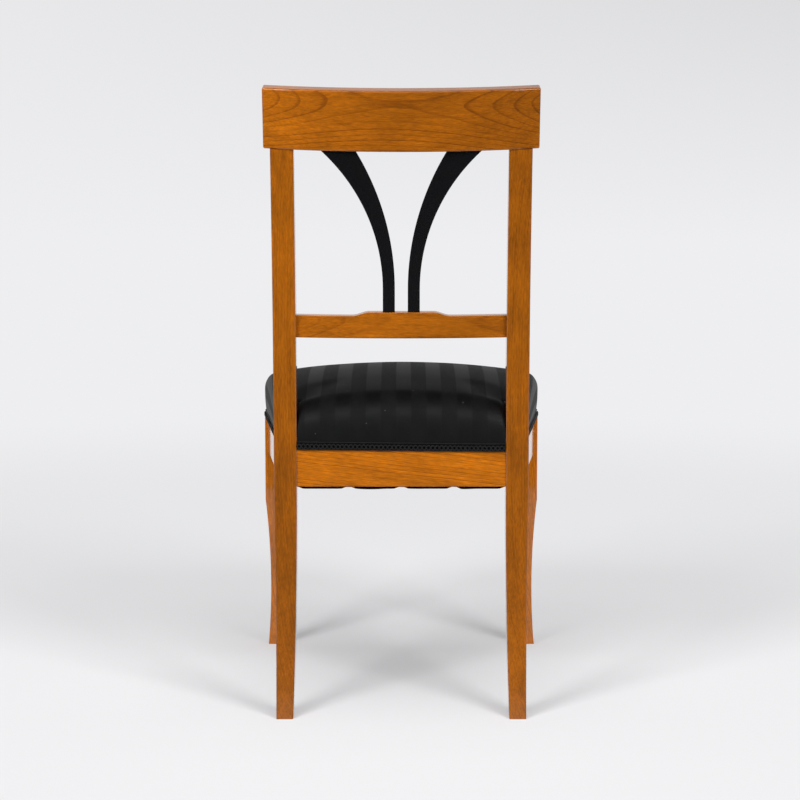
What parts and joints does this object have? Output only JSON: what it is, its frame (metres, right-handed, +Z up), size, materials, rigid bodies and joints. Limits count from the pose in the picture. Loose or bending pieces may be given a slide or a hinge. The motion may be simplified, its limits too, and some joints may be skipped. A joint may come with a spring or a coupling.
{
  "type": "side chair",
  "caption": "Armless side chair with sabre legs, a curved crest rail, black horn-shaped splats and an upholstered sprung seat.",
  "frame": {"origin": "on the floor under the middle of the chair's overall box", "axes": "+Z up, -Y towards the front where the sitter faces, +X to the sitter's left"},
  "size_m": [0.444, 0.5216, 0.8998],
  "materials": {
    "cherry": "polished cherry",
    "black_lacquered_wood": "satin black lacquer",
    "beech": "raw",
    "striped_satin": "woven satin stripe",
    "gimp_braid": "woven braid",
    "jute_webbing": "woven",
    "spring_steel": "drawn wire",
    "jute_canvas": "woven",
    "horsehair": "loose fibre",
    "black_cambric": "thin woven cloth"
  },
  "bodies": {
    "root": {"back_braid": "gimp_braid", "back_left_corner_block": "beech", "back_right_corner_block": "beech", "back_seat_rail": "cherry", "bottom_cloth": "black_cambric", "crest_rail": "cherry", "crosswise_webbing_1": "jute_webbing", "crosswise_webbing_2": "jute_webbing", "crosswise_webbing_3": "jute_webbing", "crosswise_webbing_4": "jute_webbing", "front_braid": "gimp_braid", "front_left_corner_block": "beech", "front_right_corner_block": "beech", "front_seat_rail": "cherry", "left_back_post": "cherry", "left_front_leg": "cherry", "left_side_rail": "cherry", "left_splat": "black_lacquered_wood", "lengthwise_webbing_1": "jute_webbing", "lengthwise_webbing_2": "jute_webbing", "lengthwise_webbing_3": "jute_webbing", "lengthwise_webbing_4": "jute_webbing", "right_back_post": "cherry", "right_front_leg": "cherry", "right_side_rail": "cherry", "right_splat": "black_lacquered_wood", "seat_cover": "striped_satin", "seat_springs": "spring_steel", "seat_stuffing": "horsehair", "spring_canvas": "jute_canvas", "stay_rail": "cherry"}
  },
  "joints": []
}
